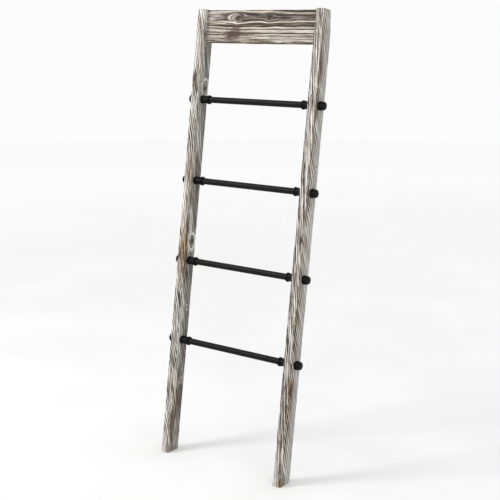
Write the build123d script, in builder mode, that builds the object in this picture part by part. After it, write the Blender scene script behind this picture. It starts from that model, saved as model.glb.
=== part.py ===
from build123d import *
import math
import os

# Wall-leaning ladder towel rack: two timber posts and a timber top board, joined by
# four rungs of black tube held in pipe fittings. Millimetres. +X runs along the rungs,
# +Y points at the wall behind the rack, +Z is up. z = 0 is the floor. The rack is drawn
# in its leaning position, so everything on it is set out along the lean of the posts.

# ---------------------------------------------------------------- driving dimensions
lean = 8.4  # posts lean back from the vertical, degrees
post_length = 1372.0  # along the post's front face, 54 in
post_width = 27.0  # across the front face
post_depth = 48.0  # front face to back face
clear_width = 400.0  # between the posts' inner faces
post_edge = 1.6  # eased long edges
post_top_edge = 1.0  # eased edges of the sawn top
wall_cut = 10.5  # sawn off each post's top back edge, so that it lies flat on the wall

board_height = 96.0  # along the posts
board_thickness = 20.0
board_set_back = 16.0  # board's front face behind the posts' front faces
board_drop = 2.5  # board's top edge below the posts' tops
board_edge = 1.2

dowel_diameter = 8.0
dowel_length = 46.0
dowel_hole_diameter = 8.2
dowel_hole_in_board = 31.0
dowel_hole_in_post = 17.0
dowel_spread = 56.0  # between the two dowels of one end

rung_first = 357.0  # lowest rung, along the post from its foot
rung_pitch = 248.0
rung_count = 4
rung_depth = 24.0  # rung axis behind the posts' front faces

tube_outer = 19.05  # 3/4 in round tube
tube_bore = 15.05
tube_seat = 11.0  # how far the tube goes into a socket
mouth_bore = 19.15  # 0.05 clear of the tube all round, filled by its adhesive
mouth_depth = 11.2

nipple_outer = 17.1  # 3/8 in nominal pipe
nipple_bore = 12.5
post_bore = 17.5  # clearance hole for the nipple
thread_bore = 17.2  # threads stand as plain bores, 0.05 clear of the nipple all round
thread_engagement = 11.0

socket_length = 30.5
socket_neck = 23.4
socket_bead = 27.2  # rolled bead round the mouth
socket_bead_width = 6.4
socket_band = 25.8  # flat band against the post
socket_band_width = 5.0

cap_length = 18.0
cap_band = 26.8  # reinforcing band at the cap's mouth
cap_band_width = 5.8
cap_body = 25.2
cap_rim = 3.4  # rounding between the body and the flat blind end
cap_bore_depth = 12.5

# ---------------------------------------------------------------- reference geometry
phi = math.radians(lean)
along = Vector(0, math.sin(phi), math.cos(phi))  # up the post
inward = Vector(0, math.cos(phi), -math.sin(phi))  # front face to back face
outer_width = clear_width + 2 * post_width
board_bottom = post_length - board_drop - board_height
board_middle = post_length - board_drop - board_height / 2
board_core = board_set_back + board_thickness / 2
rung_along = [rung_first + rung_pitch * i for i in range(rung_count)]

# The row's origin is the bottom centre of the whole rack's box, so the front bottom
# edge of the posts lies half the rack's depth in front of it.
rack_depth = post_length * math.sin(phi) + post_depth * math.cos(phi) - wall_cut
front_y = -rack_depth / 2
wall = Plane(origin=(0, rack_depth / 2, 0), x_dir=(1, 0, 0), z_dir=(0, -1, 0))


def on_post(u, s, x=0.0):
    """The point u behind the front faces and s up the posts."""
    return Vector(x, front_y, 0) + inward * u + along * s


def cross_plane(s):
    """Plane square across the posts: local x is +X, local y runs front to back."""
    return Plane(origin=on_post(0, s), x_dir=(1, 0, 0), z_dir=along)


def side_plane(x, facing=1):
    """Plane parallel to the posts' side faces, its normal along +X or -X. Local x
    runs front to back when it faces +X and back to front when it faces -X."""
    return Plane(origin=on_post(0, 0, x), x_dir=inward * facing, z_dir=(facing, 0, 0))


os.makedirs("parts", exist_ok=True)


# ---------------------------------------------------------------- posts
def finish_post(post, label):
    post.part.label = label
    export_step(post.part, f"parts/{label}.step")


with BuildPart() as left_post:
    with BuildSketch(cross_plane(0)):
        with Locations((-clear_width / 2 - post_width / 2, post_depth / 2)):
            Rectangle(post_width, post_depth)
    extrude(amount=post_length)
    fillet(left_post.edges().filter_by(Axis((0, 0, 0), tuple(along))), post_edge)
    fillet(left_post.faces().sort_by(Axis.Z)[-1].edges(), post_top_edge)
    # the foot is sawn level with the floor, the top's back edge upright along the wall
    split(bisect_by=Plane.XY, keep=Keep.TOP)
    split(bisect_by=wall, keep=Keep.TOP)
    # bores for the rungs' nipples, right through
    with BuildSketch(side_plane(-outer_width / 2)):
        with Locations(*[(rung_depth, s) for s in rung_along]):
            Circle(post_bore / 2)
    extrude(amount=post_width, mode=Mode.SUBTRACT)
    # blind holes for the board's dowels
    with BuildSketch(side_plane(-clear_width / 2 - dowel_hole_in_post)):
        with Locations(
            (board_core, board_middle - dowel_spread / 2),
            (board_core, board_middle + dowel_spread / 2),
        ):
            Circle(dowel_hole_diameter / 2)
    extrude(amount=dowel_hole_in_post, mode=Mode.SUBTRACT)
finish_post(left_post, "left_post")

with BuildPart() as right_post:
    with BuildSketch(cross_plane(0)):
        with Locations((clear_width / 2 + post_width / 2, post_depth / 2)):
            Rectangle(post_width, post_depth)
    extrude(amount=post_length)
    fillet(right_post.edges().filter_by(Axis((0, 0, 0), tuple(along))), post_edge)
    fillet(right_post.faces().sort_by(Axis.Z)[-1].edges(), post_top_edge)
    split(bisect_by=Plane.XY, keep=Keep.TOP)
    split(bisect_by=wall, keep=Keep.TOP)
    with BuildSketch(side_plane(clear_width / 2)):
        with Locations(*[(rung_depth, s) for s in rung_along]):
            Circle(post_bore / 2)
    extrude(amount=post_width, mode=Mode.SUBTRACT)
    with BuildSketch(side_plane(clear_width / 2)):
        with Locations(
            (board_core, board_middle - dowel_spread / 2),
            (board_core, board_middle + dowel_spread / 2),
        ):
            Circle(dowel_hole_diameter / 2)
    extrude(amount=dowel_hole_in_post, mode=Mode.SUBTRACT)
finish_post(right_post, "right_post")

# ---------------------------------------------------------------- top board
with BuildPart() as top_board:
    with BuildSketch(side_plane(-clear_width / 2)):
        with Locations((board_core, board_middle)):
            Rectangle(board_thickness, board_height)
    extrude(amount=clear_width)
    fillet(top_board.edges().filter_by(Axis.X), board_edge)
    for x0 in (-clear_width / 2, clear_width / 2 - dowel_hole_in_board):
        with BuildSketch(side_plane(x0)):
            with Locations(
                (board_core, board_middle - dowel_spread / 2),
                (board_core, board_middle + dowel_spread / 2),
            ):
                Circle(dowel_hole_diameter / 2)
        extrude(amount=dowel_hole_in_board, mode=Mode.SUBTRACT)
top_board.part.label = "top_board"
export_step(top_board.part, "parts/top_board.step")

# ---------------------------------------------------------------- hidden board dowels
# Each end's two dowels share a node. They sit centred in their holes' total depth.
for side, label in ((-1, "left_board_dowels"), (1, "right_board_dowels")):
    with BuildPart() as dowels:
        middle = side * (clear_width / 2 + (dowel_hole_in_post - dowel_hole_in_board) / 2)
        with BuildSketch(side_plane(middle - dowel_length / 2)):
            with Locations(
                (board_core, board_middle - dowel_spread / 2),
                (board_core, board_middle + dowel_spread / 2),
            ):
                Circle(dowel_diameter / 2)
        extrude(amount=dowel_length)
        chamfer(dowels.edges().filter_by(GeomType.CIRCLE), 0.8)
    dowels.part.label = label
    export_step(dowels.part, f"parts/{label}.step")


# ---------------------------------------------------------------- rung hardware
def axis_plane(s, x, facing):
    """Plane through a rung's axis at (x, s): local x leads away from the plane along
    the rung, to +X or -X, and local y leads up the post."""
    z_dir = Vector(facing, 0, 0).cross(along)
    return Plane(origin=on_post(rung_depth, s, x), x_dir=(facing, 0, 0), z_dir=z_dir)


names = {0: "rung_4", 1: "rung_3", 2: "rung_2", 3: "rung_1"}  # rung 1 is the top one

tube_end = clear_width / 2 - socket_length + tube_seat  # half the tube's length

for i, s in enumerate(rung_along):
    # the rung itself: one straight length of tube, its ends deburred
    with BuildPart() as pipe:
        with BuildSketch(side_plane(-tube_end)):
            with Locations((rung_depth, s)):
                Circle(tube_outer / 2)
                Circle(tube_bore / 2, mode=Mode.SUBTRACT)
        extrude(amount=2 * tube_end)
        chamfer(
            pipe.edges().filter_by(GeomType.CIRCLE).filter_by(lambda e: e.radius > tube_outer / 2 - 0.1),
            0.6,
        )
    pipe.part.label = f"{names[i]}_pipe"
    export_step(pipe.part, f"parts/{names[i]}_pipe.step")

    for side, hand in ((-1, "left"), (1, "right")):
        # inner socket: a short coupling with a flat band against the post, a plain
        # neck and a rolled bead round the mouth that takes the tube. The nipple's
        # thread is at the post end. Its local x runs from the post's inner face
        # towards the middle of the rung.
        with BuildPart() as socket:
            with BuildSketch(axis_plane(s, side * clear_width / 2, -side)) as profile:
                with BuildLine():
                    a, b, n = thread_bore / 2, socket_band / 2, socket_neck / 2
                    w, m, e = socket_band_width, socket_bead / 2, socket_length
                    v = socket_bead_width
                    Polyline(
                        (0, a + 0.6),
                        (0, b - 0.7),
                        (0.7, b),
                        (w - 0.9, b),
                        (w, n),
                        (e - v, n),
                    )
                    ThreePointArc((e - v, n), (e - v + 0.44, m - 0.44), (e - v + 1.5, m))
                    Line((e - v + 1.5, m), (e - 1.6, m))
                    ThreePointArc((e - 1.6, m), (e - 0.47, m - 0.47), (e, m - 1.6))
                    d, t = mouth_bore / 2, e - mouth_depth
                    Polyline(
                        (e, m - 1.6),
                        (e, d + 0.5),
                        (e - 0.5, d),
                        (t, d),
                        (t, a),
                        (0.6, a),
                        (0, a + 0.6),
                    )
                make_face()
            revolve(axis=Axis(tuple(on_post(rung_depth, s)), (1, 0, 0)))
        socket.part.label = f"{names[i]}_{hand}_socket"
        export_step(socket.part, f"parts/{names[i]}_{hand}_socket.step")

        # close nipple through the post, screwed into the socket and the cap
        with BuildPart() as nipple:
            start = clear_width / 2 - thread_engagement
            length = post_width + 2 * thread_engagement
            x0 = start if side > 0 else -start - length
            with BuildSketch(side_plane(x0)):
                with Locations((rung_depth, s)):
                    Circle(nipple_outer / 2)
                    Circle(nipple_bore / 2, mode=Mode.SUBTRACT)
            extrude(amount=length)
            chamfer(
                nipple.edges().filter_by(GeomType.CIRCLE).filter_by(lambda e: e.radius > nipple_outer / 2 - 0.1),
                0.6,
            )
        nipple.part.label = f"{names[i]}_{hand}_nipple"
        export_step(nipple.part, f"parts/{names[i]}_{hand}_nipple.step")

        # outer end cap: a band at the mouth, a body that tapers a little and a flat
        # blind end with a rounded rim. Its local x runs outwards from the post's
        # outer face.
        with BuildPart() as cap:
            with BuildSketch(axis_plane(s, side * outer_width / 2, side)) as profile:
                with BuildLine():
                    a, b, c = thread_bore / 2, cap_band / 2, cap_body / 2
                    q, w, e = cap_rim, cap_band_width, cap_length
                    Polyline(
                        (0, a + 0.6),
                        (0, b - 0.9),
                        (0.9, b),
                        (w - 0.5, b),
                        (w + 0.5, c),
                        (e - q, c - 0.4),
                    )
                    ThreePointArc(
                        (e - q, c - 0.4), (e - 0.293 * q, c - 0.4 - 0.293 * q), (e, c - 0.4 - q)
                    )
                    Polyline(
                        (e, c - 0.4 - q),
                        (e, 0),
                        (cap_bore_depth, 0),
                        (cap_bore_depth, a),
                        (0.6, a),
                        (0, a + 0.6),
                    )
                make_face()
            revolve(axis=Axis(tuple(on_post(rung_depth, s)), (1, 0, 0)))
        cap.part.label = f"{names[i]}_{hand}_cap"
        export_step(cap.part, f"parts/{names[i]}_{hand}_cap.step")

# ---------------------------------------------------------------- printed summary
print("height over the leaning posts:", round(on_post(0, post_length).Z, 1))
print("floor to wall:", round(rack_depth, 1), "width over the posts:", outer_width)
print("width over the caps:", outer_width + 2 * cap_length)
for i, s in enumerate(rung_along):
    p = on_post(rung_depth, s)
    print(names[i], "axis y", round(p.Y, 2), "z", round(p.Z, 2))
p = on_post(board_core, board_middle)
print("board middle y", round(p.Y, 2), "z", round(p.Z, 2))
p = on_post(board_set_back, board_bottom)
print("board front bottom y", round(p.Y, 2), "z", round(p.Z, 2))
p = on_post(post_depth, post_length)
print("top back corner y", round(p.Y, 2), "z", round(p.Z, 2))
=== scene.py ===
import math

import bpy
import numpy as np
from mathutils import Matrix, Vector


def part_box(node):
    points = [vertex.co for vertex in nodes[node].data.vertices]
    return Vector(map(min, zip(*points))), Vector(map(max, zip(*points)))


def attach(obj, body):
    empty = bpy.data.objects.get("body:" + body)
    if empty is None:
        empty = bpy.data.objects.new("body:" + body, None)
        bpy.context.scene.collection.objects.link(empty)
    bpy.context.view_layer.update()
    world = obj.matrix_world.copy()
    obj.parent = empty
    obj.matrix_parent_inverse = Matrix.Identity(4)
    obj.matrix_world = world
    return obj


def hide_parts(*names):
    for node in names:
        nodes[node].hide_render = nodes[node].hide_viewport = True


# Towel ladder: brushed, torched and whitewashed timber with black pipe rungs. The
# timbers are rebuilt as dense meshes whose brushed grain is real relief. The pipes and
# fittings stay as CAD and get their own materials.

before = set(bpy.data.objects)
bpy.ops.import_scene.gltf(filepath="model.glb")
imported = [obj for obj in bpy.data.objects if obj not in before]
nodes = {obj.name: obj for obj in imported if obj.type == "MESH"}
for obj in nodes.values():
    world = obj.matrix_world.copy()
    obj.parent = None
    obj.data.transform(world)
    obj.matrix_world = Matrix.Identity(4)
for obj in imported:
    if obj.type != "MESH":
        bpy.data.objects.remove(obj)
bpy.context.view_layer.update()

LEAN = math.radians(8.4)
ALONG = np.array([0.0, math.sin(LEAN), math.cos(LEAN)])  # up the posts
INWARD = np.array([0.0, math.cos(LEAN), -math.sin(LEAN)])  # front to back of a post
FRONT_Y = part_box("left_post")[0].y  # front bottom edge of the posts, on the floor
COARSE = 1.0


# ------------------------------------------------------------------ seeded noise
def _lattice(ix, iy, iz, seed):
    n = ix * 374761393 + iy * 668265263 + iz * 1440662683 + seed * 1013904223
    n &= 0xFFFFFFFF
    n = ((n ^ (n >> 13)) * 1274126177) & 0xFFFFFFFF
    n = ((n ^ (n >> 15)) * 2246822519) & 0xFFFFFFFF
    n ^= n >> 16
    return (n & 0xFFFFFF) / float(0xFFFFFF)


def noise(x, y, z, seed):
    """Smooth value noise from -1 to 1 on the unit lattice."""
    x, y, z = np.broadcast_arrays(x, y, z)
    ix, iy, iz = (np.floor(v).astype(np.int64) for v in (x, y, z))
    fx, fy, fz = x - ix, y - iy, z - iz
    fx, fy, fz = (f * f * f * (f * (f * 6 - 15) + 10) for f in (fx, fy, fz))
    out = 0.0
    for dx in (0, 1):
        for dy in (0, 1):
            for dz in (0, 1):
                w = (fx if dx else 1 - fx) * (fy if dy else 1 - fy) * (fz if dz else 1 - fz)
                out = out + w * _lattice(ix + dx, iy + dy, iz + dz, seed)
    return out * 2 - 1


def fbm(x, y, z, seed, octaves=3):
    total, amp, norm = 0.0, 1.0, 0.0
    for k in range(octaves):
        total = total + amp * noise(x * 2**k, y * 2**k, z * 2**k, seed + 17 * k)
        norm += amp
        amp *= 0.5
    return total / norm


def smooth(lo, hi, v):
    t = np.clip((v - lo) / (hi - lo), 0, 1)
    return t * t * (3 - 2 * t)


def latewood(ring):
    """Profile of one growth ring: 0 in the soft early wood, 1 in the hard late wood."""
    f = ring - np.floor(ring)
    return smooth(0.38, 0.82, f) * (1 - smooth(0.93, 1.0, f))


# ------------------------------------------------------------------ grain of a timber
class Timber:
    """One sawn timber in its own millimetres: a across the front face from -X, b from
    the front face back, s up the posts. The rings show as lines at pitch_a on the fronts
    and pitch_b on the sides. A face's own run is how far up the timber its lines climb
    per ring, so the grain crosses the face at a slant. They bend round the knots."""

    def __init__(self, seed, width, depth, pitch_a, pitch_b, run, warp, inner, knots, patches, seats):
        self.seed, self.width, self.depth = seed, width, depth
        self.pitch_a, self.pitch_b, self.run, self.warp = pitch_a, pitch_b, run, warp
        # run holds one value for the fronts and one for the sides
        self.inner = inner  # which side face looks at the other post: 1 far, 0 near
        self.knots, self.patches, self.seats = knots, patches, seats

    def around_knots(self, a, b, s):
        """The grain position, bent round the knots, and the knot values: the ratio to the
        nearest knot's outline, the strength of its pale collar and of its dark eye."""
        sd = self.seed
        near_knot = np.full(a.shape, 9.0)
        collar = np.zeros(a.shape)
        eye = np.zeros(a.shape)
        aa, bb = a.copy(), b.copy()
        for k in self.knots:
            side = k["face"] == "side"
            p, q = (b, a) if side else (a, b)
            full = self.width if side else self.depth
            depth = (full - q) / full if k["from_far"] else q / full
            r = k["r"] * (1.0 - k.get("taper", 0.5) * depth)
            ds = (s - k["s"] - k.get("tilt", 0.0) * depth * full) / k["long"]
            dp = p - k["p"]
            # a knot's outline is never a true ellipse
            wob = 1 + 0.10 * noise(ds / r * 1.3, dp / r * 1.3, 0.3 * q / full, sd + 61)
            point = 1 + k.get("point", 0.0) * np.maximum(0.0, -ds / r)
            rho = np.sqrt(ds * ds + (dp * point) ** 2) * wob
            push = np.where(rho > r, 1 - (r / np.maximum(rho, 1e-6)) ** 2, 1.0)
            reach = k.get("reach", 3.0)
            near = np.exp(-((rho / (reach * r)) ** 2))
            moved = k["p"] + dp * (near * push + (1 - near)) - p
            if side:
                bb = bb + moved
            else:
                aa = aa + moved
            ratio = rho / r
            hit = ratio < near_knot
            lean_in = 1 - k.get("open", 0.0) * smooth(-0.5, 0.6, ds / r)
            collar = np.where(hit, k.get("collar", 1.0) * lean_in, collar)
            eye = np.where(hit, k.get("eye", 0.4), eye)
            near_knot = np.minimum(near_knot, ratio)
        return aa, bb, np.stack([near_knot, collar, eye], 1)

    def tones(self, a, b, s):
        """Strengths of the patches: 0 warm brown, 1 torched dark, 2 plum, 3 washed pale."""
        tone = np.zeros((len(a), 4))
        for t in self.patches:
            d = np.sqrt(
                ((a - t["a"]) / t["ra"]) ** 2
                + ((b - t["b"]) / t["rb"]) ** 2
                + ((s - t["s"]) / t["rs"]) ** 2
            )
            d = d + 0.30 * fbm(s / 26, a / 8, b / 8, self.seed + 71, 2)
            g = t.get("gain", 1.0) * (1 - smooth(0.50, 1.20, d))
            tone[:, t["kind"]] = np.maximum(tone[:, t["kind"]], g)
        return tone

    def field(self, a, b, s):
        sd = self.seed
        aa, bb, knot = self.around_knots(a, b, s)
        w1 = fbm(s / 260, aa / 70, bb / 70, sd + 1, 2)
        w2 = fbm(s / 90, aa / 24, bb / 24, sd + 2, 2)
        w3 = noise(s / 30, aa / 7, bb / 7, sd + 3)
        bent = self.warp * (1.5 * w1 + 0.38 * w2 + 0.07 * w3)
        front, side = (s / r + bent for r in self.run)
        rings = []
        for drift in (front, side):
            ring = aa / self.pitch_a + bb / self.pitch_b + drift
            # wide and narrow years
            rings.append(ring + 0.42 * noise(ring / 2.3, 0.5, 0.5, sd + 4))
        # the fibres run with the lines the rings draw on each face
        g_front = np.stack([s, aa + front * self.pitch_a, bb], 1) / 1000.0
        g_side = np.stack([s + 900.0, aa, bb + side * self.pitch_b], 1) / 1000.0
        return rings, (g_front, g_side), knot, self.tones(a, b, s)

    def profile(self, ring):
        return latewood(ring)

    def on_end(self, ring, arcs, sawn):
        """The sawn ends show the rings as arcs about a pith outside the timber."""
        return np.concatenate([ring[:-sawn], arcs])

    def faces(self, a, b, s):
        """0 the inner side, 1 the outer side, 2 how far toward the back of a side."""
        hi = smooth(self.width - 2.0, self.width - 0.2, a)
        lo = 1 - smooth(0.2, 2.0, a)
        inner, outer = (hi, lo) if self.inner else (lo, hi)
        rear = smooth(0.15, 0.75, b / self.depth)
        return np.stack([inner, outer, rear], 1)

    def relief(self, a, b, s, ring, gpos, knot):
        """How far the brushed surface lies under the sawn face, in millimetres."""
        sd = self.seed
        ga, gb = gpos[:, 1] * 1000, gpos[:, 2] * 1000
        late = self.profile(ring)
        fibre = fbm(s / 30, ga / 1.9, gb / 1.9, sd + 21, 2)
        gouge = smooth(0.28, 0.85, fbm(s / 60, ga / 3.1, gb / 3.1, sd + 22, 2))
        broad = 0.5 + 0.5 * fbm(s / 160, a / 30, b / 30, sd + 23, 2)
        depth = 0.42 * (1 - late) * (0.55 + 0.6 * broad) + 0.17 * (0.5 + 0.5 * fibre)
        depth = depth + 0.42 * gouge * (1 - 0.7 * late)
        # drying checks: a few fine splits along the grain
        split = 1 - np.abs(noise(s / 150, ga / 7.0, gb / 7.0, sd + 41))
        where = smooth(0.15, 0.50, noise(s / 90, a / 25, b / 25, sd + 43))
        depth = depth + 0.75 * smooth(0.93, 0.995, split) * where
        kr = knot[:, 0]
        hard = 1 - smooth(0.75, 1.15, kr)
        ringed = 0.5 + 0.5 * np.cos(2 * np.pi * ring)
        depth = depth * (1 - hard) + hard * (0.10 + 0.16 * ringed)
        crack = smooth(0.90, 0.98, kr) * (1 - smooth(1.02, 1.12, kr))
        depth = depth + 0.30 * crack
        # clamped flat under the fittings and where the board butts
        for near in self.seats:
            depth = depth * (1 - near(a, b, s)) + 0.06 * near(a, b, s)
        return depth


def section(width, depth, radius, na, nb):
    """Points of a rounded rectangle as the border of an (na, nb) grid, each side's end
    points lying in the middle of the corners, with the share of each corner."""
    pts = []

    def side(n, p0, p1, c0, c1):
        # straight run from corner arc to corner arc; half of each arc belongs to it
        d = np.array(p1, float) - np.array(p0, float)
        length = np.hypot(*d)
        d /= length
        inner = np.array([-d[1], d[0]])
        t = np.linspace(0, 1, n + 1)[:-1]
        arc = 3
        out = []
        for i in range(n):
            if i < arc:
                ang = math.radians(45 * (1 - i / arc))
                q = np.array(p0) + d * radius + inner * radius
                out.append(q - inner * radius * math.cos(ang) - d * radius * math.sin(ang))
            elif i > n - arc:
                ang = math.radians(45 * (i - (n - arc)) / arc)
                q = np.array(p0) + d * (length - radius) + inner * radius
                out.append(q - inner * radius * math.cos(ang) + d * radius * math.sin(ang))
            else:
                run = (i - arc) / (n - 2 * arc)
                out.append(np.array(p0) + d * (radius + run * (length - 2 * radius)))
        return out

    pts += side(na, (0, 0), (width, 0), 0, 1)
    pts += side(nb, (width, 0), (width, depth), 1, 2)
    pts += side(na, (width, depth), (0, depth), 2, 3)
    pts += side(nb, (0, depth), (0, 0), 3, 0)
    return np.array(pts)


def build_timber(name, timber, place, length, foot, cell, across, end_round, edge, slot, left=None):
    """A closed mesh of one timber. place turns (a, b, s) in mm into the row frame. foot
    is how far the start of the timber rises per mm of depth, for a sawn foot. left gives
    the depth left at s where the back is sawn away."""
    width, depth, sd = timber.width, timber.depth, timber.seed
    na = max(10, int(round(width / (across * COARSE))))
    nb = max(10, int(round(depth / (across * COARSE))))
    rows = max(40, int(round(length / (cell * COARSE))))
    ring_pts = section(width, depth, edge, na, nb)
    count = len(ring_pts)

    # rows: the end roundings, then even steps
    k = 4
    ang = np.linspace(0, math.pi / 2, k + 1)
    start = [(end_round * (1 - math.sin(t)), end_round * (1 - math.cos(t))) for t in ang]
    body = np.linspace(end_round, length - end_round, rows + 1)[1:-1]
    stations = [(s, i) for s, i in reversed(start[1:])]
    stations = [(end_round * (1 - math.cos(t)), end_round * (1 - math.sin(t))) for t in ang]
    stations += [(float(s), 0.0) for s in body]
    stations += [
        (length - end_round * (1 - math.cos(t)), end_round * (1 - math.sin(t)))
        for t in ang[::-1]
    ]

    centre = np.array([width / 2, depth / 2])
    half = np.array([width / 2, depth / 2])

    def inset(pts, d):
        return centre + (pts - centre) * (half - d) / half

    A, B, S = [], [], []
    for s, d in stations:
        p = inset(ring_pts, d)
        A.append(p[:, 0])
        B.append(p[:, 1])
        S.append(np.full(count, s))
    A, B, S = (np.concatenate(v) for v in (A, B, S))
    faces = []
    nrow = len(stations)
    i = np.arange(count)
    j = (i + 1) % count
    for r in range(nrow - 1):
        lo, hi = r * count, (r + 1) * count
        faces.append(np.stack([lo + i, lo + j, hi + j, hi + i], 1))

    # the two ends: a grid stretched over each end's outline
    def cap(row, flip):
        nonlocal A, B, S
        border = row * count + np.arange(count)
        grid = np.zeros((na + 1, nb + 1), np.int64)
        grid[np.arange(na + 1), 0] = border[np.arange(na + 1)]
        grid[na, np.arange(nb + 1)] = border[na + np.arange(nb + 1)]
        grid[np.arange(na, -1, -1), nb] = border[na + nb + np.arange(na + 1)]
        left = border[(2 * na + nb + np.arange(nb + 1)) % count]
        grid[0, np.arange(nb, -1, -1)] = left
        u = (np.arange(na + 1) / na)[:, None]
        v = (np.arange(nb + 1) / nb)[None, :]
        new = {}
        for key, X in (("a", A), ("b", B)):
            g = X[grid]
            c = (
                (1 - v) * g[:, :1] + v * g[:, -1:] + (1 - u) * g[:1, :] + u * g[-1:, :]
                - (1 - u) * (1 - v) * g[0, 0] - u * (1 - v) * g[-1, 0]
                - (1 - u) * v * g[0, -1] - u * v * g[-1, -1]
            )
            new[key] = c[1:-1, 1:-1].ravel()
        first = len(A)
        inner = first + np.arange((na - 1) * (nb - 1)).reshape(na - 1, nb - 1)
        grid[1:-1, 1:-1] = inner
        A = np.concatenate([A, new["a"]])
        B = np.concatenate([B, new["b"]])
        S = np.concatenate([S, np.full(inner.size, stations[row][0])])
        q = np.stack([grid[:-1, :-1], grid[1:, :-1], grid[1:, 1:], grid[:-1, 1:]], -1)
        q = q.reshape(-1, 4)
        return q[:, ::-1] if not flip else q

    faces.append(cap(0, False))
    faces.append(cap(nrow - 1, True))
    sawn = len(faces[-1]) + len(faces[-2])  # quads of end grain
    faces = np.concatenate(faces)

    # a sawn foot: the start of every long line lies on the floor
    rise = B * foot
    S = rise + S / length * (length - rise)

    # edges worn unevenly: each long edge gives way a little more here and there
    da = np.minimum(A, width - A)
    db = np.minimum(B, depth - B)
    near_edge = 1 - smooth(0.0, 3.2, np.sqrt(da * da + db * db))
    side_a = np.where(A > width / 2, 1, 0) + np.where(B > depth / 2, 2, 0)
    wear = smooth(0.05, 0.8, fbm(S / 34, side_a * 7.3, side_a * 3.1, sd + 31, 3))
    knock = smooth(0.55, 0.9, noise(S / 17, side_a * 5.7, side_a * 1.9, sd + 33))

    on_side = da < db
    if left is not None:
        B = B * np.minimum(1.0, left(S) / depth)

    rings, (g_front, g_side), knot, tone = timber.field(A, B, S)
    face = timber.faces(A, B, S)
    ring = np.where(on_side, rings[1], rings[0])
    gpos = np.where(on_side[:, None], g_side, g_front)
    quad_side = on_side[faces].sum(1) >= 3
    g_corner = np.where(quad_side[:, None, None], g_side[faces], g_front[faces])
    ring_corner = np.where(quad_side[:, None], rings[1][faces], rings[0][faces])
    butt = np.zeros(faces.shape)
    butt[-sawn:] = 1.0
    heart = np.hypot(A + 24.0, B + 38.0) / 4.4 + 0.30 * noise(A / 13, B / 13, S / 200, sd + 51)
    end_ring = heart[faces[-sawn:]]
    deep = timber.relief(A, B, S, ring, gpos, knot) + near_edge * (0.75 * wear + 0.6 * knock)

    mesh = bpy.data.meshes.new(name)
    co = place(A, B, S)
    mesh.vertices.add(len(co))
    mesh.vertices.foreach_set("co", co.astype(np.float32).ravel())
    mesh.loops.add(faces.size)
    mesh.loops.foreach_set("vertex_index", faces.astype(np.int32).ravel())
    mesh.polygons.add(len(faces))
    mesh.polygons.foreach_set("loop_start", np.arange(0, faces.size, 4, dtype=np.int32))
    mesh.polygons.foreach_set("use_smooth", np.ones(len(faces), bool))
    mesh.update(calc_edges=True)
    mesh.validate()
    normals = np.empty(len(co) * 3, np.float32)
    mesh.vertex_normals.foreach_get("vector", normals)
    co = co - normals.reshape(-1, 3) * (deep / 1000.0)[:, None]
    co[:, 2] = np.maximum(co[:, 2], 0.0)
    mesh.vertices.foreach_set("co", co.astype(np.float32).ravel())
    for key, where, data in (
        ("ring", "CORNER", timber.on_end(ring_corner, end_ring, sawn).ravel()),
        ("butt", "CORNER", butt.ravel()),
        ("pale", "POINT", tone[:, 3]),
        ("deep", "POINT", deep),
        ("edge", "POINT", near_edge * (0.35 + 0.65 * wear)),
    ):
        at = mesh.attributes.new(key, "FLOAT", where)
        at.data.foreach_set("value", np.asarray(data, np.float32))
    for key, data, where in (
        ("gpos", g_corner.reshape(-1, 3), "CORNER"),
        ("tone", tone[:, :3], "POINT"),
        ("knot", knot, "POINT"),
        ("face", face, "POINT"),
    ):
        at = mesh.attributes.new(key, "FLOAT_VECTOR", where)
        at.data.foreach_set("vector", np.asarray(data, np.float32).ravel())
    mesh.update()
    obj = bpy.data.objects.new(name, mesh)
    bpy.context.scene.collection.objects.link(obj)
    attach(obj, "root")
    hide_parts(slot["node"])
    return obj


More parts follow.
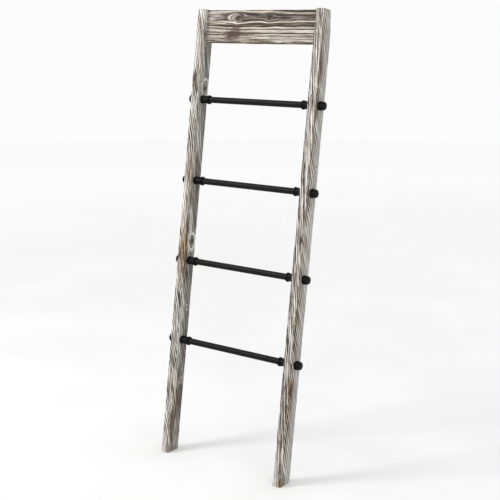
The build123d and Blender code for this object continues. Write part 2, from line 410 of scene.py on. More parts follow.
# ------------------------------------------------------------------ node helpers
class Nodes:
    def __init__(self, name):
        self.mat = bpy.data.materials.new(name)
        self.mat.use_nodes = True
        self.tree = self.mat.node_tree
        self.tree.nodes.clear()
        self.out = self.add("ShaderNodeOutputMaterial")
        self.bsdf = self.add("ShaderNodeBsdfPrincipled")
        self.link(self.bsdf.outputs[0], self.out.inputs["Surface"])

    def add(self, kind, **props):
        n = self.tree.nodes.new(kind)
        for k, v in props.items():
            setattr(n, k, v)
        return n

    def link(self, a, b):
        self.tree.links.new(a, b)

    def put(self, socket, value):
        if isinstance(value, bpy.types.NodeSocket):
            self.link(value, socket)
        else:
            socket.default_value = value

    def math(self, op, a, b=None, c=None, clamp=False):
        n = self.add("ShaderNodeMath", operation=op, use_clamp=clamp)
        for s, v in zip(n.inputs, (a, b, c)):
            if v is not None:
                self.put(s, v)
        return n.outputs[0]

    def attr(self, name, out="Fac"):
        return self.add("ShaderNodeAttribute", attribute_name=name).outputs[out]

    def scaled(self, vec, scale):
        n = self.add("ShaderNodeVectorMath", operation="MULTIPLY")
        self.link(vec, n.inputs[0])
        n.inputs[1].default_value = scale
        return n.outputs[0]

    def noise(self, vec, scale, detail=2.0, rough=0.5, distortion=0.0):
        n = self.add("ShaderNodeTexNoise")
        self.link(self.scaled(vec, scale), n.inputs["Vector"])
        n.inputs["Scale"].default_value = 1.0
        n.inputs["Detail"].default_value = detail
        n.inputs["Roughness"].default_value = rough
        n.inputs["Distortion"].default_value = distortion
        return n.outputs["Fac"]

    def ramp(self, fac, stops, interpolation="LINEAR"):
        n = self.add("ShaderNodeValToRGB")
        r = n.color_ramp
        r.interpolation = interpolation
        while len(r.elements) < len(stops):
            r.elements.new(0.5)
        for e, (pos, col) in zip(r.elements, stops):
            e.position = pos
            e.color = col if isinstance(col, tuple) else (col, col, col, 1)
        self.put(n.inputs["Fac"], fac)
        return n.outputs["Color"]

    def fit(self, value, lo, hi, to_lo=0.0, to_hi=1.0, smoothly=True):
        n = self.add("ShaderNodeMapRange", clamp=True)
        n.interpolation_type = "SMOOTHSTEP" if smoothly else "LINEAR"
        self.put(n.inputs["Value"], value)
        for key, v in (("From Min", lo), ("From Max", hi), ("To Min", to_lo), ("To Max", to_hi)):
            self.put(n.inputs[key], v)
        return n.outputs["Result"]

    def mix(self, fac, a, b, blend="MIX"):
        n = self.add("ShaderNodeMix", data_type="RGBA", blend_type=blend)
        self.put(n.inputs[0], fac)
        self.put(n.inputs[6], a)
        self.put(n.inputs[7], b)
        return n.outputs[2]

    def split(self, vec):
        n = self.add("ShaderNodeSeparateXYZ")
        self.link(vec, n.inputs[0])
        return n.outputs

    def lerp(self, fac, a, b):
        n = self.add("ShaderNodeMix", data_type="FLOAT")
        self.put(n.inputs[0], fac)
        self.put(n.inputs[2], a)
        self.put(n.inputs[3], b)
        return n.outputs[0]

    def bump(self, height, distance, strength=1.0, normal=None):
        n = self.add("ShaderNodeBump")
        n.inputs["Strength"].default_value = strength
        n.inputs["Distance"].default_value = distance
        self.link(height, n.inputs["Height"])
        if normal is not None:
            self.link(normal, n.inputs["Normal"])
        return n.outputs["Normal"]


def srgb(r, g, b):
    """A colour given as 0-255 display values, as linear."""
    f = lambda c: c / 12.92 if c <= 0.04045 else ((c + 0.055) / 1.055) ** 2.4
    return (f(r / 255), f(g / 255), f(b / 255), 1.0)


# ------------------------------------------------------------------ materials
TONES = (
    (0.00, (224, 221, 215)),
    (0.20, (203, 198, 190)),
    (0.40, (170, 163, 153)),
    (0.58, (132, 121, 109)),
    (0.74, (98, 87, 76)),
    (0.90, (64, 56, 49)),
    (1.00, (40, 36, 34)),
)


def wood_material(name, seed, bias, contrast, bands=None, hues=None, front=1.4):
    """Whitewash brushed thin over torched softwood. Everything is first worked out as
    one darkness, from bare wash to char, and only then turned into colour."""
    m = Nodes(name)
    ring, edge, deep, pale = (m.attr(k) for k in ("ring", "edge", "deep", "pale"))
    g = m.attr("gpos", "Vector")
    tone = m.split(m.attr("tone", "Vector"))
    knot = m.split(m.attr("knot", "Vector"))
    face = m.split(m.attr("face", "Vector"))
    kr = knot[0]
    shift = m.add("ShaderNodeVectorMath", operation="ADD")
    m.link(g, shift.inputs[0])
    shift.inputs[1].default_value = (seed * 1.37, seed * 0.71, seed * 0.53)
    g = shift.outputs[0]

    long = 1.0 if bands is not None else 1.25
    streak = m.noise(g, (11.0 * long, 370.0, 370.0), 2.5, 0.58)
    thin = m.noise(g, (15.0 * long, 660.0, 660.0), 3.0, 0.62)
    hair = m.noise(g, (20.0 * long, 1050.0, 1050.0), 2.0, 0.60)
    wide = m.noise(g, (3.6, 48.0, 48.0), 2.0, 0.5)
    cloud = m.noise(g, (5.0, 15.0, 15.0), 2.0, 0.5)
    fibre = m.noise(g, (46.0, 1500.0, 1500.0), 4.0, 0.62, 0.15)
    fine = m.noise(g, (130.0, 4600.0, 4600.0), 3.0, 0.6)

    if bands is None:
        # each ring has its own strength and fades in and out along its length
        f = m.math("FRACT", ring)
        own = m.add("ShaderNodeTexWhiteNoise", noise_dimensions="1D")
        m.link(m.math("FLOOR", ring), own.inputs["W"])
        late = m.math("MULTIPLY", m.fit(f, 0.30, 0.60), m.fit(f, 0.88, 1.0, 1.0, 0.0))
        power = m.math("ADD", m.math("MULTIPLY", own.outputs["Value"], 0.35), m.fit(streak, 0.35, 0.62, 0.30, 0.95))
        dark = m.math("MULTIPLY", m.math("MULTIPLY", late, power), 0.90)
    else:
        late = m.ramp(ring, bands)
        dark = m.math("MULTIPLY", late, m.fit(streak, 0.28, 0.62, 0.62, 1.02))
    # brushed streaks, torch clouds and single fibres on top
    dark = m.math("ADD", dark, m.math("MULTIPLY", m.math("SUBTRACT", streak, 0.5), 1.90 * contrast))
    dark = m.math("ADD", dark, m.fit(thin, 0.50, 0.60, 0.0, 0.34 * contrast))
    dark = m.math("SUBTRACT", dark, m.fit(thin, 0.38, 0.48, 0.26 * contrast, 0.0))
    dark = m.math("ADD", dark, m.fit(hair, 0.52, 0.62, 0.0, 0.22 * contrast))
    dark = m.math("ADD", dark, m.math("MULTIPLY", m.math("SUBTRACT", wide, 0.5), 0.95 * contrast))
    dark = m.math("ADD", dark, m.math("MULTIPLY", m.math("SUBTRACT", cloud, 0.5), 0.35 * contrast))
    dark = m.math("ADD", dark, m.math("MULTIPLY", m.math("SUBTRACT", fibre, 0.5), 0.75))
    dark = m.math("ADD", dark, m.math("MULTIPLY", m.math("SUBTRACT", fine, 0.5), 0.30))
    dark = m.math("ADD", dark, bias)
    # char shows through everywhere and the wash never covers fully
    if bands is None:
        dark = m.fit(dark, 0.02, 0.96, 0.12, 0.80)
        # the fronts were brushed hardest
        side = m.math("MAXIMUM", face[0], face[1])
        crisp = m.math("ADD", m.math("MULTIPLY", m.math("SUBTRACT", dark, 0.47), front), 0.49)
        inner = m.math("ADD", m.math("MULTIPLY", m.math("SUBTRACT", dark, 0.52), m.lerp(face[0], 1.0, 1.45)), 0.52)
        dark = m.lerp(side, crisp, inner)
        # end grain soaks up the stain: ring arcs and pores, no streaks
        arcs = m.math("ADD", m.math("MULTIPLY", m.fit(f, 0.20, 0.85), 0.24), 0.46)
        arcs = m.math("ADD", arcs, m.math("MULTIPLY", m.math("SUBTRACT", fibre, 0.5), 0.55))
        arcs = m.math("ADD", arcs, m.math("MULTIPLY", m.math("SUBTRACT", cloud, 0.5), 0.60))
        dark = m.lerp(m.attr("butt"), dark, arcs)
    else:
        dark = m.fit(dark, -0.15, 1.05, 0.02, 0.88)
    # torched and pale patches
    dark = m.math("ADD", dark, m.math("MULTIPLY", tone[1], 0.42))
    dark = m.math("SUBTRACT", dark, m.math("MULTIPLY", pale, 0.50))
    dark = m.math("ADD", dark, m.math("MULTIPLY", tone[0], 0.22))
    # the sides: the inner one, facing the other post, is painted with shade that deepens toward the back; the outer
    # one is drawn a little lighter, and evener toward the back
    dark = m.math("ADD", dark, m.math("MULTIPLY", face[0], m.fit(face[2], 0.0, 1.0, -0.06, 0.14)))
    outer_rear_lift = m.math("MULTIPLY", face[1], m.fit(face[2], 0.0, 1.0, 0.0, 0.62))
    dark = m.lerp(outer_rear_lift, dark, 0.36)
    # painted shade: toward the back of the inner side the darkness is pulled to a darker, mottled value
    inner_rear_shade = m.math("MULTIPLY", face[0], m.fit(face[2], 0.0, 1.0, 0.0, 0.45))
    dark = m.lerp(inner_rear_shade, dark, m.fit(cloud, 0.35, 0.65, 0.40, 0.72))
    dark = m.math("SUBTRACT", dark, m.math("MULTIPLY", face[1], 0.05))

    # knots: dark eye, ringed heart, bark line, pale collar
    stray = m.noise(g, (60.0, 130.0, 130.0), 3.0, 0.6)
    rings = m.math("SINE", m.math("ADD", m.math("MULTIPLY", kr, 21.0), m.math("MULTIPLY", stray, 9.0)))
    heart = m.math("ADD", m.fit(knot[1], 0.0, 1.0, 0.60, 0.56 if bands is None else 0.32, False), m.math("MULTIPLY", rings, 0.13 if bands is None else 0.035))
    heart = m.math("ADD", heart, m.math("MULTIPLY", m.math("SUBTRACT", stray, 0.5), 0.9))
    fleck = m.noise(g, (190.0, 420.0, 420.0), 2.0, 0.6)
    heart = m.math("ADD", heart, m.math("MULTIPLY", m.math("SUBTRACT", fibre, 0.5), 0.5))
    eye = m.add("ShaderNodeMath", operation="SUBTRACT")
    m.link(knot[2], eye.inputs[0])
    m.link(kr, eye.inputs[1])
    heart = m.math("ADD", heart, m.math("MULTIPLY", m.fit(eye.outputs[0], -0.16, 0.10, 0.0, 0.46), m.fit(fleck, 0.40, 0.56, 0.10, 1.0)))
    dark = m.lerp(m.fit(kr, 0.84, 0.96, 1.0, 0.0), dark, heart)
    bark = m.math("MULTIPLY", m.fit(kr, 0.80, 0.88), m.fit(kr, 0.93, 1.00, 1.0, 0.0))
    dark = m.lerp(m.math("MULTIPLY", bark, m.fit(streak, 0.35, 0.60, 0.20, 0.80)), dark, 0.84)
    collar = m.math("MULTIPLY", m.fit(kr, 0.93, 1.02), m.fit(kr, 1.22, 1.60, 1.0, 0.0))
    collar = m.math("MULTIPLY", m.math("MULTIPLY", collar, knot[1]), m.fit(stray, 0.32, 0.58, 0.35, 1.0))
    dark = m.lerp(m.math("MULTIPLY", collar, m.fit(fibre, 0.25, 0.6, 0.60, 1.0)), dark, 0.06)

    # arrises drawn pale: rubbed wear and a painted highlight along the edges; darker where the brushing lies
    # deepest
    dark = m.lerp(m.math("MULTIPLY", m.fit(edge, 0.10, 0.55), m.fit(thin, 0.35, 0.6, 0.10, 0.60)), dark, 0.10)
    dark = m.math("ADD", dark, m.fit(deep, 0.60, 1.15, 0.0, 0.20))

    col = m.ramp(dark, [(p, srgb(*c)) for p, c in TONES])
    # hue: wash over char is grey, wash over bare wood is brown
    if hues is not None:
        col = m.mix(0.85, col, m.ramp(ring, [(p, srgb(*c)) for p, c in hues]), "SOFT_LIGHT")
    hue = m.noise(g, (4.2, 60.0, 60.0), 2.0, 0.5)
    col = m.mix(m.math("MULTIPLY", m.fit(hue, 0.45, 0.70), m.fit(dark, 0.25, 0.60, 0.0, 0.75)), col, m.mix(1.0, col, srgb(240, 218, 192), "MULTIPLY"))
    col = m.mix(m.math("MULTIPLY", m.fit(hue, 0.30, 0.48, 1.0, 0.0), m.fit(dark, 0.20, 0.55, 0.0, 0.5)), col, m.mix(1.0, col, srgb(232, 226, 234), "MULTIPLY"))
    # painted shade colour: the side faces, and most of all their backs, are tinted faintly cool
    side = m.math("MAXIMUM", face[0], face[1])
    back = m.math("MULTIPLY", side, face[2])
    col = m.mix(side, col, m.mix(1.0, col, srgb(249, 252, 251), "MULTIPLY"))
    col = m.mix(m.math("MULTIPLY", back, face[0]), col, m.mix(1.0, col, srgb(239, 245, 255), "MULTIPLY"))
    col = m.mix(m.math("MULTIPLY", back, face[1]), col, m.mix(1.0, col, srgb(242, 247, 255), "MULTIPLY"))

    warm = m.mix(1.0, col, srgb(236, 196, 152), "MULTIPLY")
    col = m.mix(m.math("MULTIPLY", tone[0], m.fit(streak, 0.32, 0.62, 0.60, 1.0)), col, warm)
    plum = m.mix(m.fit(streak, 0.32, 0.66), srgb(112, 88, 82), srgb(58, 45, 43))
    col = m.mix(m.math("MULTIPLY", tone[2], m.fit(hair, 0.30, 0.65, 0.95, 0.70)), col, plum)
    m.link(col, m.bsdf.inputs["Base Color"])

    rough = m.math("ADD", 0.80, m.math("MULTIPLY", fine, 0.10))
    rough = m.math("SUBTRACT", rough, m.fit(dark, 0.3, 0.9, 0.0, 0.16))
    m.link(rough, m.bsdf.inputs["Roughness"])
    m.bsdf.inputs["Specular IOR Level"].default_value = 0.25
    h = m.math("ADD", m.math("MULTIPLY", fibre, 1.0), m.math("MULTIPLY", fine, 0.45))
    h = m.math("ADD", h, m.math("MULTIPLY", late, 0.25))
    m.link(m.bump(h, 0.00055, 0.85), m.bsdf.inputs["Normal"])
    return m.mat


def metal_material(name, base, worn, rough_lo, rough_hi, grain, pits, seed):
    """Black powder coat: fine orange peel, a mottled sheen, dusty specks and scuffs, and the convex high spots
    drawn lighter, as rubbed coat and as a painted highlight."""
    m = Nodes(name)
    pos = m.add("ShaderNodeTexCoord").outputs["Object"]
    shift = m.add("ShaderNodeVectorMath", operation="ADD")
    m.link(pos, shift.inputs[0])
    shift.inputs[1].default_value = (seed * 0.31, seed * 0.77, seed * 0.13)
    pos = shift.outputs[0]
    cloud = m.noise(pos, (38.0, 60.0, 60.0), 3.0, 0.55)
    peel = m.noise(pos, (grain, grain, grain), 2.0, 0.5)
    speck = m.noise(pos, (grain * 3.1, grain * 3.1, grain * 3.1), 2.0, 0.6)
    lump = m.noise(pos, (pits, pits, pits), 3.0, 0.55)
    scuff = m.noise(pos, (75.0, 900.0, 900.0), 3.0, 0.6)
    high = m.add("ShaderNodeNewGeometry").outputs["Pointiness"]
    col = m.mix(m.fit(cloud, 0.30, 0.72), base, worn)
    col = m.mix(m.math("MULTIPLY", m.fit(speck, 0.60, 0.74), 0.14), col, srgb(48, 46, 45))
    col = m.mix(m.math("MULTIPLY", m.fit(scuff, 0.62, 0.78), 0.12), col, srgb(40, 38, 37))
    # painted highlight and rubbed coat: the convex high spots are drawn lighter
    col = m.mix(m.fit(high, 0.55, 0.62, 0.0, 0.20), col, srgb(58, 55, 52))
    m.link(col, m.bsdf.inputs["Base Color"])
    rough = m.fit(cloud, 0.25, 0.75, rough_lo, rough_hi)
    rough = m.math("ADD", rough, m.math("MULTIPLY", speck, 0.08))
    m.link(rough, m.bsdf.inputs["Roughness"])
    m.bsdf.inputs["Specular IOR Level"].default_value = 0.10
    h = m.math("ADD", m.math("MULTIPLY", peel, 0.6), m.math("MULTIPLY", lump, 1.0))
    h = m.math("ADD", h, m.math("MULTIPLY", speck, 0.18))
    m.link(m.bump(h, 0.00035, 0.8), m.bsdf.inputs["Normal"])
    return m.mat


def dowel_material():
    m = Nodes("dowel_birch")
    pos = m.add("ShaderNodeTexCoord").outputs["Object"]
    grain = m.noise(pos, (30.0, 900.0, 900.0), 3.0, 0.6)
    col = m.mix(m.fit(grain, 0.3, 0.7), srgb(198, 160, 112), srgb(224, 192, 148))
    m.link(col, m.bsdf.inputs["Base Color"])
    m.link(m.fit(grain, 0.3, 0.7, 0.6, 0.75), m.bsdf.inputs["Roughness"])
    m.link(m.bump(grain, 0.0003, 0.6), m.bsdf.inputs["Normal"])
    return m.mat


left_wood = wood_material("wash_left", 1, 0.215, 1.05, front=1.45)
right_wood = wood_material("wash_right", 2, 0.262, 1.20, front=1.90)

# ------------------------------------------------------------------ timbers
post_lo, post_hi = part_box("left_post")
WIDTH = (post_hi.x - post_lo.x) * 1000
DEPTH = 48.0
LENGTH = 1372.0
RUNGS = [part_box("rung_%d_pipe" % i) for i in (1, 2, 3, 4)]


def post_place(x0):
    def place(a, b, s):
        p = INWARD[None, :] * b[:, None] + ALONG[None, :] * s[:, None]
        p[:, 0] += a + x0 * 1000
        p[:, 1] += FRONT_Y * 1000
        return p / 1000.0

    return place


def seats(inner):
    """Where fittings clamp on the sides of a post and the board butts against it."""
    out = []
    for lo, hi in RUNGS:
        c = np.array([0.0, (lo.y + hi.y) / 2 - FRONT_Y, (lo.z + hi.z) / 2]) * 1000
        cb, cs = float(c @ INWARD), float(c @ ALONG)

        def near(a, b, s, cb=cb, cs=cs):
            r = np.hypot(b - cb, s - cs)
            side = np.maximum(smooth(WIDTH - 1.0, WIDTH, a), 1 - smooth(0.0, 1.0, a))
            return side * (1 - smooth(13.5, 17.0, r))

        out.append(near)

    def butt(a, b, s):
        side = smooth(WIDTH - 1.0, WIDTH, a) if inner else 1 - smooth(0.0, 1.0, a)
        return side * smooth(13.5, 16.0, b) * (1 - smooth(36.0, 38.5, b)) * smooth(1270.0, 1273.5, s)

    out.append(butt)
    return out


left_timber = Timber(
    seed=11, width=WIDTH, depth=DEPTH, pitch_a=7.0, pitch_b=6.0, run=(27.0, 29.0), warp=1.0, inner=1,
    knots=[
        dict(face="side", from_far=True, p=29.5, s=664.0, r=12.5, long=1.75, taper=0.6, eye=0.42),
        dict(face="side", from_far=True, p=31.0, s=1136.0, r=12.0, long=2.0, taper=0.65, eye=0.42, point=0.35),
        dict(face="side", from_far=True, p=34.0, s=457.0, r=4.0, long=1.8, taper=0.7),
        dict(face="side", from_far=True, p=31.0, s=228.0, r=5.0, long=2.0, taper=0.7),
    ],
    patches=[
        dict(kind=3, a=0, b=0, s=1265, ra=14, rb=30, rs=120, gain=0.62),
        dict(kind=3, a=2, b=0, s=803, ra=14, rb=30, rs=75, gain=1.0),
        dict(kind=0, a=27, b=2, s=640, ra=17, rb=13, rs=85, gain=1.0),
        dict(kind=0, a=20, b=0, s=880, ra=10, rb=10, rs=90, gain=0.40),
        dict(kind=2, a=27, b=2, s=787, ra=9, rb=13, rs=48, gain=0.60),
        dict(kind=1, a=27, b=30, s=190, ra=6, rb=24, rs=80, gain=0.40),
        dict(kind=0, a=27, b=22, s=150, ra=6, rb=26, rs=90, gain=0.35),
        dict(kind=1, a=27, b=8, s=1070, ra=8, rb=9, rs=40, gain=0.55),
        dict(kind=1, a=24, b=4, s=1235, ra=8, rb=8, rs=60, gain=0.32),
        dict(kind=3, a=27, b=38, s=1215, ra=6, rb=14, rs=40, gain=0.45),
        dict(kind=1, a=20, b=2, s=1000, ra=16, rb=6, rs=45, gain=0.60),
        dict(kind=1, a=27, b=36, s=890, ra=6, rb=18, rs=62, gain=0.62),
        dict(kind=3, a=24, b=0, s=830, ra=9, rb=6, rs=70, gain=0.45),
        dict(kind=1, a=27, b=12, s=725, ra=5, rb=11, rs=34, gain=0.75),
        dict(kind=1, a=27, b=12, s=560, ra=6, rb=13, rs=62, gain=0.78),
        dict(kind=1, a=12, b=0, s=560, ra=18, rb=6, rs=70, gain=0.42),
        dict(kind=1, a=25, b=3, s=440, ra=9, rb=7, rs=90, gain=0.36),
        dict(kind=1, a=18, b=0, s=330, ra=18, rb=6, rs=58, gain=0.44),
        dict(kind=1, a=27, b=38, s=370, ra=6, rb=13, rs=160, gain=0.42),
        dict(kind=3, a=24, b=0, s=242, ra=9, rb=8, rs=32, gain=0.60),
        dict(kind=1, a=24, b=2, s=105, ra=9, rb=7, rs=42, gain=0.85),
        dict(kind=3, a=27, b=34, s=20, ra=6, rb=20, rs=34, gain=0.60),
        dict(kind=1, a=27, b=11, s=98, ra=5, rb=14, rs=62, gain=0.62),
        dict(kind=0, a=27, b=11, s=98, ra=5, rb=16, rs=70, gain=0.40),
        dict(kind=3, a=8, b=0, s=22, ra=12, rb=4, rs=46, gain=0.42),
    ],
    seats=seats(1),
)
right_timber = Timber(
    seed=29, width=WIDTH, depth=DEPTH, pitch_a=5.8, pitch_b=10.0, run=(50.0, 23.0), warp=0.8, inner=0,
    knots=[
        dict(face="front", from_far=False, p=12.0, s=1126.0, r=2.6, long=2.2, taper=0.8, collar=0.6),
        dict(face="side", from_far=True, p=36.0, s=930.0, r=2.8, long=2.4, taper=0.7),
        dict(face="front", from_far=False, p=9.0, s=260.0, r=3.0, long=2.0, taper=0.7, collar=0.6),
    ],
    patches=[
        dict(kind=3, a=26, b=0, s=1230, ra=5, rb=1.5, rs=190, gain=0.95),
        dict(kind=3, a=18, b=0, s=990, ra=12, rb=4, rs=60, gain=0.60),
        dict(kind=0, a=25, b=8, s=288, ra=4, rb=13, rs=42, gain=0.95),
        dict(kind=0, a=24, b=4, s=215, ra=6, rb=10, rs=40, gain=0.55),
        dict(kind=0, a=25, b=2, s=8, ra=12, rb=18, rs=22, gain=0.85),
        dict(kind=1, a=13, b=0, s=520, ra=30, rb=8, rs=210, gain=0.26),
        dict(kind=1, a=27, b=5, s=1240, ra=3, rb=14, rs=130, gain=0.40),
        dict(kind=1, a=22, b=0, s=1270, ra=6, rb=2, rs=42, gain=0.40),
        dict(kind=1, a=4, b=0, s=1100, ra=9, rb=5, rs=50, gain=0.48),
        dict(kind=1, a=4, b=0, s=990, ra=9, rb=5, rs=42, gain=0.90),
        dict(kind=1, a=5, b=0, s=860, ra=9, rb=5, rs=36, gain=0.55),
        dict(kind=1, a=10, b=0, s=645, ra=16, rb=5, rs=42, gain=0.50),
        dict(kind=1, a=4, b=0, s=382, ra=10, rb=5, rs=36, gain=0.72),
        dict(kind=3, a=4, b=0, s=242, ra=10, rb=5, rs=34, gain=0.50),
        dict(kind=3, a=22, b=0, s=1062, ra=7, rb=2, rs=44, gain=0.80),
        dict(kind=3, a=22, b=0, s=792, ra=7, rb=2, rs=42, gain=0.50),
        dict(kind=3, a=22, b=0, s=120, ra=7, rb=2, rs=80, gain=0.50),
        dict(kind=1, a=27, b=9, s=1095, ra=2, rb=11, rs=62, gain=0.85),
        dict(kind=1, a=27, b=8, s=790, ra=2, rb=10, rs=34, gain=0.45),
        dict(kind=3, a=27, b=9, s=318, ra=2, rb=9, rs=24, gain=0.45),
        dict(kind=1, a=27, b=8, s=140, ra=2, rb=11, rs=60, gain=0.55),
        dict(kind=1, a=27, b=4, s=860, ra=3, rb=7, rs=130, gain=0.45),
        dict(kind=1, a=27, b=4, s=440, ra=3, rb=5, rs=90, gain=0.55),
    ],
    seats=seats(0),
)


class Board(Timber):
    """The board is flat sawn: s runs along +X from its left end, a up from its bottom
    edge. Its pith runs level with the two knots near the top, and the rings leave long
    bands below it; the ring value is simply the height of a band, in tenths of a metre."""

    def field(self, a, b, s):
        sd = self.seed
        aa, bb, knot = self.around_knots(a, b, s)
        w1 = fbm(s / 120, aa / 40, bb / 30, sd + 1, 2)
        w2 = fbm(s / 42, aa / 14, bb / 12, sd + 2, 2)
        w3 = noise(s / 16, aa / 5, bb / 5, sd + 3)
        v = aa + 1.6 * w1 + 1.15 * w2 + 0.40 * w3
        # the upper bands run down to the right, the lower ones down from the left end
        v = v + 7.0 * smooth(230, 390, s) * smooth(76, 90, aa)
        v = v - 3.5 * (1 - smooth(0, 120, s)) * smooth(70, 40, aa)
        gpos = np.stack([s, v, bb], 1) / 1000.0
        return (v / 100.0, v / 100.0), (gpos, gpos), knot, self.tones(a, b, s)

    def profile(self, ring):
        return np.interp(ring, [p for p, d in BANDS], [d for p, d in BANDS])

    def on_end(self, ring, arcs, sawn):
        return ring

    def faces(self, a, b, s):
        return np.zeros((len(a), 3))


# darkness of each band against its height up the board, in tenths of a metre
BANDS = [
    (0.000, 0.62), (0.020, 0.58), (0.034, 0.22), (0.100, 0.20), (0.112, 0.44), (0.124, 0.14),
    (0.190, 0.12), (0.198, 0.72), (0.206, 0.66), (0.214, 0.14), (0.254, 0.10), (0.262, 0.82),
    (0.284, 0.76), (0.294, 0.12), (0.376, 0.08), (0.384, 0.88), (0.402, 0.80), (0.412, 0.12),
    (0.462, 0.08), (0.474, 0.92), (0.520, 0.58), (0.584, 0.86), (0.598, 0.08), (0.642, 0.00),
    (0.654, 0.78), (0.740, 0.60), (0.855, 0.72), (0.872, 0.10), (0.925, 0.06), (0.945, 0.70),
]
HUES = [
    (0.000, (126, 126, 124)), (0.440, (127, 126, 124)), (0.485, (132, 122, 107)),
    (0.585, (132, 122, 107)), (0.615, (128, 127, 124)), (0.660, (121, 120, 127)),
    (0.855, (120, 121, 127)), (0.900, (128, 127, 120)), (0.980, (126, 122, 114)),
]
board_wood = wood_material("wash_board", 3, 0.13, 0.64, BANDS, HUES)
board_timber = Board(
    seed=47, width=96.0, depth=20.0, pitch_a=1, pitch_b=1, run=(1, 1), warp=1, inner=1,
    knots=[
        dict(face="front", from_far=False, p=73.5, s=114.0, r=13.0, long=2.1, taper=0.25,
             reach=1.8, point=0.60, open=0.85, eye=0.50),
        dict(face="front", from_far=False, p=75.5, s=232.0, r=9.5, long=1.8, taper=0.25,
             reach=2.1, collar=0.0, eye=0.55),
        dict(face="front", from_far=False, p=17.0, s=82.0, r=5.0, long=2.6, taper=0.35,
             reach=2.2, point=0.8, open=0.9, collar=1.0, eye=0.3),
    ],
    patches=[
        dict(kind=2, a=31, b=0, s=109, ra=21, rb=60, rs=22, gain=1.0),
        dict(kind=2, a=15, b=0, s=101, ra=17, rb=60, rs=27, gain=0.95),
        dict(kind=1, a=19, b=0, s=82, ra=13, rb=60, rs=22, gain=0.55),
        dict(kind=3, a=78, b=0, s=20, ra=12, rb=60, rs=60, gain=0.60),
        dict(kind=3, a=56.5, b=0, s=15, ra=3.4, rb=60, rs=70, gain=0.50),
        dict(kind=1, a=50.5, b=0, s=22, ra=2.2, rb=60, rs=80, gain=0.60),
        dict(kind=1, a=62.0, b=0, s=12, ra=2.2, rb=60, rs=60, gain=0.60),
        dict(kind=0, a=94, b=0, s=206, ra=8, rb=6, rs=38, gain=0.30),
        dict(kind=3, a=94, b=0, s=206, ra=8, rb=6, rs=38, gain=0.55),
    ],
    seats=[],
)

BOARD_BOTTOM = LENGTH - 2.5 - 96.0
BOARD_FRONT = 16.0


def board_place(a, b, s):
    p = INWARD[None, :] * (b + BOARD_FRONT)[:, None] + ALONG[None, :] * (a + BOARD_BOTTOM)[:, None]
    p[:, 0] += s - 200.0
    p[:, 1] += FRONT_Y * 1000
    return p / 1000.0


WALL_Y = post_hi.y  # the tops are sawn upright here, to lie flat on the wall


def behind(s):
    """How deep a post still is at s, in mm, in front of the wall."""
    return ((WALL_Y - FRONT_Y) * 1000 - s * math.sin(LEAN)) / math.cos(LEAN)


left = build_timber(
    "left_post_wood", left_timber, post_place(-0.227), LENGTH, math.tan(LEAN), 3.2, 0.78,
    1.0, 1.6, dict(node="left_post", slot="weathered_wood"), behind,
)
right = build_timber(
    "right_post_wood", right_timber, post_place(0.200), LENGTH, math.tan(LEAN), 3.2, 0.78,
    1.0, 1.6, dict(node="right_post", slot="weathered_wood"), behind,
)
board = build_timber(
    "top_board_wood", board_timber, board_place, 400.0, 0.0, 1.7, 0.78,
    0.25, 1.2, dict(node="top_board", slot="weathered_wood"),
)
left.data.materials.append(left_wood)
right.data.materials.append(right_wood)
board.data.materials.append(board_wood)

# ------------------------------------------------------------------ metal nodes
pipe_mat = metal_material("pipe_black", srgb(4, 4, 5), srgb(10, 9, 9), 0.28, 0.40, 1500.0, 220.0, 1)
cast_mat = metal_material("cast_black", srgb(5, 5, 6), srgb(12, 11, 11), 0.34, 0.50, 1100.0, 420.0, 2)
steel_mat = metal_material("nipple_black", srgb(24, 23, 23), srgb(36, 34, 33), 0.40, 0.55, 1500.0, 260.0, 3)
dowel_mat = dowel_material()
for name, obj in nodes.items():
    if name in ("left_post", "right_post", "top_board"):
        continue
    mat = (
        pipe_mat if name.endswith("_pipe")
        else steel_mat if name.endswith("_nipple")
        else dowel_mat if name.endswith("_dowels")
        else cast_mat
    )
    for s in obj.material_slots:
        s.material = mat
    if not obj.material_slots:
        obj.data.materials.append(mat)

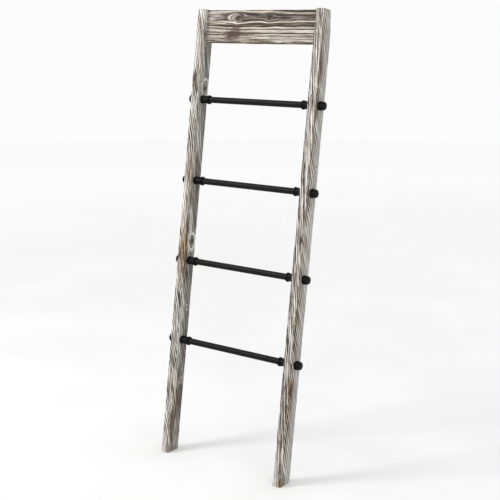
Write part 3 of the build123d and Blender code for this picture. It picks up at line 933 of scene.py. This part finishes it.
# ------------------------------------------------------------------ floor, light, camera
floor_mesh = bpy.data.meshes.new("floor")
R = 9.0
n = 48
ring_v = [(R * math.cos(2 * math.pi * i / n), R * math.sin(2 * math.pi * i / n), 0.0) for i in range(n)]
floor_mesh.from_pydata(ring_v, [], [tuple(range(n))])
floor = bpy.data.objects.new("floor", floor_mesh)
bpy.context.scene.collection.objects.link(floor)
fm = Nodes("floor_pale")
fpos = fm.add("ShaderNodeTexCoord").outputs["Object"]
fn = fm.noise(fpos, (2.0, 2.0, 2.0), 3.0, 0.5)
far = fm.add("ShaderNodeVectorMath", operation="LENGTH")
fm.link(fpos, far.inputs[0])
near_col = fm.mix(fm.fit(fn, 0.3, 0.7), srgb(222, 222, 222), srgb(226, 226, 226))
fm.link(fm.mix(fm.fit(far.outputs["Value"], 1.0, 6.5), near_col, srgb(251, 251, 251)), fm.bsdf.inputs["Base Color"])
fm.bsdf.inputs["Roughness"].default_value = 0.85
fm.bsdf.inputs["Specular IOR Level"].default_value = 0.2
floor_mesh.materials.append(fm.mat)

world = bpy.data.worlds.new("studio")
bpy.context.scene.world = world
world.use_nodes = True
wt = world.node_tree
wt.nodes.clear()
bg = wt.nodes.new("ShaderNodeBackground")
bg.inputs["Color"].default_value = (1.0, 1.0, 1.0, 1.0)
bg.inputs["Strength"].default_value = 0.97
wo = wt.nodes.new("ShaderNodeOutputWorld")
wt.links.new(bg.outputs[0], wo.inputs["Surface"])


def area(name, where, at, size, power, colour=(1, 1, 1)):
    data = bpy.data.lights.new(name, "AREA")
    data.shape = "RECTANGLE"
    data.size, data.size_y = size
    data.energy = power
    data.color = colour
    obj = bpy.data.objects.new(name, data)
    obj.location = where
    obj.rotation_euler = (Vector(at) - Vector(where)).to_track_quat("-Z", "Y").to_euler()
    bpy.context.scene.collection.objects.link(obj)
    return obj


area("key", (-2.2, -2.6, 3.0), (0, 0, 0.75), (1.1, 1.1), 80)
area("fill", (3.2, -1.6, 1.8), (0, 0, 0.7), (2.2, 2.2), 18)
area("back", (0.6, 2.8, 2.6), (0, 0, 0.8), (2.2, 1.6), 14)

cam_data = bpy.data.cameras.new("camera")
cam = bpy.data.objects.new("camera", cam_data)
bpy.context.scene.collection.objects.link(cam)
cam.location = (1.8885, -2.48305, 1.3200)
cam.rotation_euler = (math.radians(90 - 11.020), 0.0, math.radians(36.804))
cam_data.sensor_width = 36.0
cam_data.lens = 1071.84 * 36.0 / 500.0
cam_data.shift_y = -0.040
cam_data.clip_start, cam_data.clip_end = 0.05, 60.0
bpy.context.scene.camera = cam
bpy.context.scene.view_settings.view_transform = "Standard"
